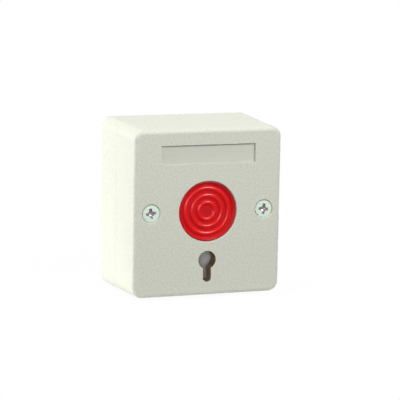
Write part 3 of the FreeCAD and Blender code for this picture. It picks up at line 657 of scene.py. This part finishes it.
class PANICBUTTON_OT_case_screws(bpy.types.Operator):
    """Build the two countersunk case screws with threads and driver recesses"""

    bl_idname = "panicbutton.case_screws"
    bl_label = "Case screws"

    def execute(self, context):
        look = context.scene.panicbutton_screws
        # Zinc plate on a headed blank: pale, cool and frosted.
        plate = zinc_plated("steel_cold_headed_zinc_plated", look.plate, look.stain, look.haze,
                            roughness=0.50, metallic=0.05)
        # Zinc plate in a punched recess: thin, warm grey and smooth, so the cross is dark with glints.
        punched = zinc_plated("steel_punched_recess_thin_plate", look.punched, darker(look.punched, 0.6),
                              darker(look.punched, 0.85), roughness=0.32, metallic=0.8)
        length = screws_high.y - screws_low.y
        offset = screws_high.x - look.head_radius
        height = (screws_low.z + screws_high.z) / 2
        for name, side, turn in (("case_screw_left", -1, look.left_turn),
                                 ("case_screw_right", 1, look.right_turn)):
            screw = threaded_screw(name, look, length, turn, plate, punched)
            screw.data.transform(Matrix.Translation((side * offset, screws_low.y, height)))
            smooth_by_angle(screw, degrees=35)
            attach(screw, "case")
            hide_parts("cover_screws")
        return {"FINISHED"}


class PANICBUTTON_OT_small_screws(bpy.types.Operator):
    """Finish the self-tapping screws and the terminal screws"""

    bl_idname = "panicbutton.small_screws"
    bl_label = "Small screws"

    def execute(self, context):
        look = context.scene.panicbutton_screws
        # Zinc plate on small rolled screws: a little brighter and smoother.
        dress(zinc_plated("steel_small_screw_zinc_plated", look.plate, look.stain, look.haze,
                          roughness=0.40, metallic=0.7),
              "chassis_screws", "board_screws", "terminal_screws")
        return {"FINISHED"}


class PANICBUTTON_OT_release(bpy.types.Operator):
    """Finish the release slide and the chassis it runs on"""

    bl_idname = "panicbutton.release"
    bl_label = "Release slide"

    def execute(self, context):
        look = context.scene.panicbutton_slide
        # Sheet steel, stamped and dull zinc plated: chalky pale grey over faint upright rolling
        # lines, for the frosted plate hides most of the metal's shine.
        dress(worked_metal("steel_sheet_dull_zinc_plated", look.sheet, look.line_spacing,
                           stretch=(1.0, 1.0, 0.15), roughness=0.62, metallic=0.1), "latch_slide")
        # Nylon, moulded: waxy and soft grey.
        dress(moulded("nylon_moulded", look.nylon, skin_size=0.4 * MM, roughness=0.48, ior=1.53),
              "chassis")
        return {"FINISHED"}


class PANICBUTTON_OT_springs(bpy.types.Operator):
    """Build the two coil springs"""

    bl_idname = "panicbutton.springs"
    bl_label = "Coil springs"

    def execute(self, context):
        look = context.scene.panicbutton_slide
        # Spring wire, cold drawn: grey satin with fine marks from the die.
        drawn = worked_metal("steel_spring_wire_drawn", look.spring, 0.12 * MM,
                             stretch=(1.0, 1.0, 1.0), roughness=0.32)
        for name, node, joint, axis, wire, turns in (
                ("button_return_spring", "return_spring", "button_press", 1, look.return_wire,
                 look.return_turns),
                ("slide_latch_spring", "latch_spring", "key_release", 0, look.latch_wire,
                 look.latch_turns)):
            spring = coil_spring(name, node, axis, wire, turns, drawn)
            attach(spring, "case")
            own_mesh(spring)
            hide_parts(node)
        return {"FINISHED"}


class PANICBUTTON_OT_switch(bpy.types.Operator):
    """Finish the snap switch, its lever and its contacts, and cut its blade into parts that can bend"""

    bl_idname = "panicbutton.switch"
    bl_label = "Snap switch"

    def execute(self, context):
        look = context.scene.panicbutton_switch
        # Phenolic, compression-moulded: near black, dull and hard.
        dress(moulded("phenolic_compression_moulded", look.phenolic, skin_size=0.3 * MM,
                      roughness=0.45, ior=1.60), "switch_case", "switch_base")
        # Acetal, moulded: white and slippery smooth.
        dress(moulded("acetal_moulded", look.acetal, skin_size=0.5 * MM, roughness=0.25, ior=1.48),
              "switch_plunger")
        # Spring strip, cold rolled: bright grey with lines along the lever.
        dress(worked_metal("steel_spring_strip_rolled", look.strip, 0.12 * MM,
                           stretch=(0.15, 1.0, 1.0), roughness=0.30), "switch_lever", "switch_pivot")
        # Phosphor bronze strip, rolled: reddish, with lines along the blade.
        bronze = worked_metal("phosphor_bronze_strip_rolled", look.bronze, 0.10 * MM,
                              stretch=(0.2, 1.0, 1.0), roughness=0.30)
        blade = flexing_strip("switch_blade", "snap_blade", look.blade_parts, bronze)
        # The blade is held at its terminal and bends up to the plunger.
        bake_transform(blade)
        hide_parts("snap_blade")
        # Brass strip, stamped: warm yellow with the lines of the roll.
        dress(worked_metal("brass_strip_stamped", look.brass, 0.12 * MM,
                           stretch=(1.0, 0.2, 1.0), roughness=0.28),
              "common_terminal", "open_terminal", "closed_terminal")
        return {"FINISHED"}


class PANICBUTTON_OT_wiring(bpy.types.Operator):
    """Finish the wiring board, the terminal block and the threaded inserts"""

    bl_idname = "panicbutton.wiring"
    bl_label = "Board and terminals"

    def execute(self, context):
        look = context.scene.panicbutton_wiring
        dress(masked_laminate(look), "contact_board")
        # Polyamide, moulded: an even green with a light satin.
        dress(moulded("polyamide_moulded", look.housing, skin_size=0.35 * MM, roughness=0.42, ior=1.53),
              "terminal_housing")
        # Brass, turned: warm and bright with fine rings.
        dress(worked_metal("brass_turned", look.brass, 0.12 * MM,
                           stretch=(0.3, 1.0, 0.3), roughness=0.28),
              "screw_inserts", "terminal_clamps", "terminal_pins")
        return {"FINISHED"}


class PANICBUTTON_OT_stage(bpy.types.Operator):
    """Set up the floor, the lamps, the world and the camera"""

    bl_idname = "panicbutton.stage"
    bl_label = "Stage"

    def execute(self, context):
        setup = context.scene.panicbutton_stage
        pale_floor(setup)
        # A tall softbox at the left, well behind the front face, lights the left side alone.
        soft_lamp("left_softbox", place=(-0.55, 0.38, 0.12), width=0.30, height=0.50,
                  power=setup.left_power)
        # A small softbox high at the right puts a highlight along the upper side of each ridge
        # and leaves the slopes and walls that face down or left in shade.
        soft_lamp("front_softbox", place=(0.30, -0.67, 0.455), width=0.26, height=0.12,
                  power=setup.front_power)
        # A weaker one just behind the camera looks into the keyhole and the driver recesses.
        soft_lamp("camera_softbox", place=(-0.276, -0.757, 0.163), width=0.22, height=0.22,
                  power=setup.fill_power)
        # A narrow strip just in front of the face's plane lights the recess walls that face left.
        soft_lamp("edge_softbox", place=(-0.75, -0.13, 0.12), width=0.08, height=0.40,
                  power=setup.edge_power)
        # A wide softbox overhead lights the top.
        soft_lamp("top_softbox", place=(0.0, 0.05, 0.68), width=0.50, height=0.50,
                  power=setup.top_power)
        white_room(context.scene, setup)
        context.scene.camera = photo_camera(setup)
        context.scene.view_settings.view_transform = "Standard"
        return {"FINISHED"}


def pale_floor(setup):
    """A large pale floor of matte paper that ends a little in front of the object.

    Near the object the paper shows its soft shadow, and further off it is plain white.
    """
    material, tree, place = new_material("paper_sweep_matte")
    paper = add_node(tree, "ShaderNodeMix", {"Factor": wander(tree, place, 2 * MM, 0.0, 1.0),
                                             "A": setup.floor_white, "B": darker(setup.floor_white, 0.985)},
                     data_type="RGBA")
    matte = add_node(tree, "ShaderNodeBsdfDiffuse", {"Color": paper})
    white = add_node(tree, "ShaderNodeEmission", {"Color": (1.0, 1.0, 1.0, 1.0), "Strength": 1.0})
    distance = add_node(tree, "ShaderNodeVectorMath", {0: place}, operation="LENGTH").outputs["Value"]
    share = add_node(tree, "ShaderNodeMapRange",
                     {"Value": distance, "From Min": setup.shadow_reach * 0.4,
                      "From Max": setup.shadow_reach, "To Min": setup.near_white, "To Max": 1.0},
                     interpolation_type="SMOOTHSTEP")
    seen = add_node(tree, "ShaderNodeMath", {0: background_rays(tree), 1: share}, operation="MULTIPLY")
    mixed = add_node(tree, "ShaderNodeMixShader", {0: seen, 1: matte, 2: white})
    add_node(tree, "ShaderNodeOutputMaterial", {"Surface": mixed})
    mesh = bmesh.new()
    middle = (0, setup.floor_half - setup.floor_front, cad_low.z)
    bmesh.ops.create_grid(mesh, x_segments=8, y_segments=8, size=setup.floor_half,
                          matrix=Matrix.Translation(middle))
    mesh_object("pale_floor", mesh, material)


def background_rays(tree):
    """1 for rays that show the background: from the camera, in metal or through glass."""
    path = add_node(tree, "ShaderNodeLightPath")
    shown = add_node(tree, "ShaderNodeMath", {0: path.outputs["Is Camera Ray"],
                                              1: path.outputs["Is Glossy Ray"]}, operation="MAXIMUM")
    return add_node(tree, "ShaderNodeMath", {0: shown, 1: path.outputs["Is Transmission Ray"]},
                    operation="MAXIMUM")


def white_room(scene, setup):
    """A white background, with a dimmer room behind the camera for the object's gloss."""
    world = bpy.data.worlds.new("white_room")
    world.use_nodes = True
    scene.world = world
    tree = world.node_tree
    tree.nodes.clear()
    path = add_node(tree, "ShaderNodeLightPath")
    toward = add_node(tree, "ShaderNodeTexCoord").outputs["Generated"]
    depth = add_node(tree, "ShaderNodeSeparateXYZ", {"Vector": toward}).outputs["Y"]
    # Matte surfaces take the room's light from behind the front face alone. Gloss sees the room
    # white there, and dim everywhere else.
    gloss = add_node(tree, "ShaderNodeMapRange", {"Value": depth, "From Min": 0.35, "From Max": 0.80,
                                                  "To Min": setup.dim_room, "To Max": 1.0})
    matte = add_node(tree, "ShaderNodeMapRange", {"Value": depth, "From Min": -0.30, "From Max": 0.10,
                                                  "To Min": 0.0, "To Max": setup.room_light})
    room = add_node(tree, "ShaderNodeMix",
                    {"Factor": path.outputs["Is Diffuse Ray"], "A": gloss, "B": matte})
    strength = add_node(tree, "ShaderNodeMath", {0: room, 1: path.outputs["Is Camera Ray"]},
                        operation="MAXIMUM")
    background = add_node(tree, "ShaderNodeBackground",
                          {"Color": (1.0, 1.0, 1.0, 1.0), "Strength": strength})
    add_node(tree, "ShaderNodeOutputWorld", {"Surface": background})


def soft_lamp(name, place, width, height, power):
    """A rectangular softbox that faces the object's middle."""
    light = bpy.data.lights.new(name, "AREA")
    light.shape = "RECTANGLE"
    light.size = width
    light.size_y = height
    light.energy = power
    lamp = bpy.data.objects.new(name, light)
    bpy.context.scene.collection.objects.link(lamp)
    lamp.location = place
    middle = (cad_low + cad_high) / 2
    lamp.rotation_euler = (middle - Vector(place)).to_track_quat("-Z", "Y").to_euler()


def photo_camera(setup):
    """The camera at the photograph's angle, a little above and to the left of the front."""
    across = math.cos(setup.rise)
    forward = Vector((math.sin(setup.turn) * across, math.cos(setup.turn) * across, -math.sin(setup.rise)))
    right = Vector((math.cos(setup.turn), -math.sin(setup.turn), 0.0))
    up = right.cross(forward)
    level = Matrix((right, up, -forward)).transposed().to_4x4()
    camera = bpy.data.objects.new("photo_camera", bpy.data.cameras.new("photo_camera"))
    bpy.context.scene.collection.objects.link(camera)
    camera.matrix_world = (Matrix.Translation(Vector(setup.aim) - forward * setup.distance)
                           @ level @ Matrix.Rotation(setup.roll, 4, "Z"))
    camera.data.sensor_width = 36.0
    camera.data.lens = setup.lens
    camera.data.clip_start = 0.01
    camera.data.clip_end = 20.0
    return camera


class PANICBUTTON_PT_panel(bpy.types.Panel):
    """Operators of the panic button in the order they run"""

    bl_idname = "PANICBUTTON_PT_panel"
    bl_label = "Panic button"
    bl_space_type = "VIEW_3D"
    bl_region_type = "UI"
    bl_category = "Panic button"

    def draw(self, context):
        for operator in OPERATORS:
            self.layout.operator(operator.bl_idname)


GROUPS = {"panicbutton_case": CaseLook, "panicbutton_button": ButtonLook, "panicbutton_screws": ScrewLook,
          "panicbutton_slide": SlideLook, "panicbutton_switch": SwitchLook,
          "panicbutton_wiring": WiringLook, "panicbutton_stage": StageSetup}
OPERATORS = (PANICBUTTON_OT_case, PANICBUTTON_OT_button, PANICBUTTON_OT_case_screws,
             PANICBUTTON_OT_small_screws, PANICBUTTON_OT_release, PANICBUTTON_OT_springs,
             PANICBUTTON_OT_switch, PANICBUTTON_OT_wiring, PANICBUTTON_OT_stage)


def register():
    for name, look in GROUPS.items():
        bpy.utils.register_class(look)
        setattr(bpy.types.Scene, name, bpy.props.PointerProperty(type=look))
    for operator in OPERATORS:
        bpy.utils.register_class(operator)
    bpy.utils.register_class(PANICBUTTON_PT_panel)


def unregister():
    bpy.utils.unregister_class(PANICBUTTON_PT_panel)
    for operator in reversed(OPERATORS):
        bpy.utils.unregister_class(operator)
    for name, look in GROUPS.items():
        delattr(bpy.types.Scene, name)
        bpy.utils.unregister_class(look)


def main():
    """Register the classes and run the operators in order."""
    register()
    bpy.ops.panicbutton.case()
    bpy.ops.panicbutton.button()
    bpy.ops.panicbutton.case_screws()
    bpy.ops.panicbutton.small_screws()
    bpy.ops.panicbutton.release()
    bpy.ops.panicbutton.springs()
    bpy.ops.panicbutton.switch()
    bpy.ops.panicbutton.wiring()
    bpy.ops.panicbutton.stage()


if __name__ == "__main__":
    main()
